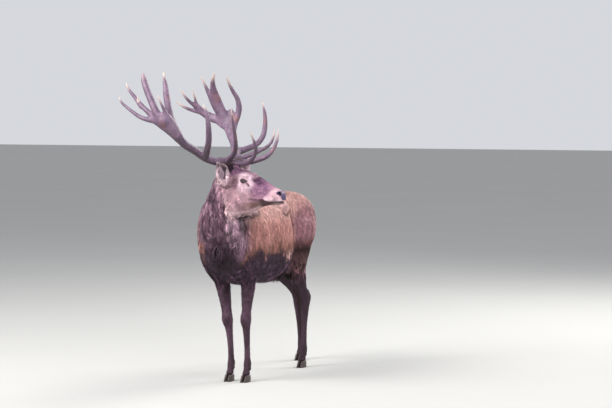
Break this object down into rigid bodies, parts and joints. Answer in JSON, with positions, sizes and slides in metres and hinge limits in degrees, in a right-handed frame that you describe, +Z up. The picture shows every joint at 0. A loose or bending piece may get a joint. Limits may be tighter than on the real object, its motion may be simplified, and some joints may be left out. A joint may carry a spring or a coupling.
{
  "type": "red deer stag model",
  "caption": "Life-size still model of an adult red deer stag standing with its head turned to its left, with a full branched pair of antlers, a maned neck and cloven hooves.",
  "frame": {"origin": "middle of the stag's outline box on the ground it stands on", "axes": "+Z up, -Y the way the body faces, +X to the stag's left; the head is turned towards +X"},
  "size_m": [1.0706, 2.0542, 2.1033],
  "materials": {
    "body_coat": "short golden-brown hair",
    "mane_coat": "long grey-brown hair",
    "leg_coat": "short dark brown hair",
    "face_coat": "very short grey-brown hair",
    "hoof_horn": "dark, slightly shiny horn",
    "antler_bone": "ridged bone with pale polished tips",
    "eye": "wet and glossy"
  },
  "bodies": {
    "root": {"ear_left": "face_coat", "ear_right": "face_coat", "head": "face_coat", "neck": "mane_coat", "tail": "body_coat", "fore_leg_left": "leg_coat", "fore_leg_right": "leg_coat", "hind_leg_left": "leg_coat", "hind_leg_right": "leg_coat", "trunk": "body_coat", "fore_claw_left_a": "hoof_horn", "fore_claw_left_b": "hoof_horn", "fore_claw_right_a": "hoof_horn", "fore_claw_right_b": "hoof_horn", "hind_claw_left_a": "hoof_horn", "hind_claw_left_b": "hoof_horn", "hind_claw_right_a": "hoof_horn", "hind_claw_right_b": "hoof_horn", "eye_left": "eye", "eye_right": "eye", "antler_left_beam": "antler_bone", "antler_left_brow": "antler_bone", "antler_left_bez": "antler_bone", "antler_left_trez": "antler_bone", "antler_left_crown_fore": "antler_bone", "antler_left_crown_front": "antler_bone", "antler_left_crown_mid": "antler_bone", "antler_left_crown_rear": "antler_bone", "antler_left_crown_low": "antler_bone", "antler_left_crown_spur": "antler_bone", "antler_right_beam": "antler_bone", "antler_right_brow": "antler_bone", "antler_right_bez": "antler_bone", "antler_right_trez": "antler_bone", "antler_right_crown_fore": "antler_bone", "antler_right_crown_inner": "antler_bone", "antler_right_crown_top": "antler_bone", "antler_right_crown_rear": "antler_bone", "antler_right_crown_low": "antler_bone", "antler_right_crown_spur": "antler_bone"}
  },
  "joints": []
}
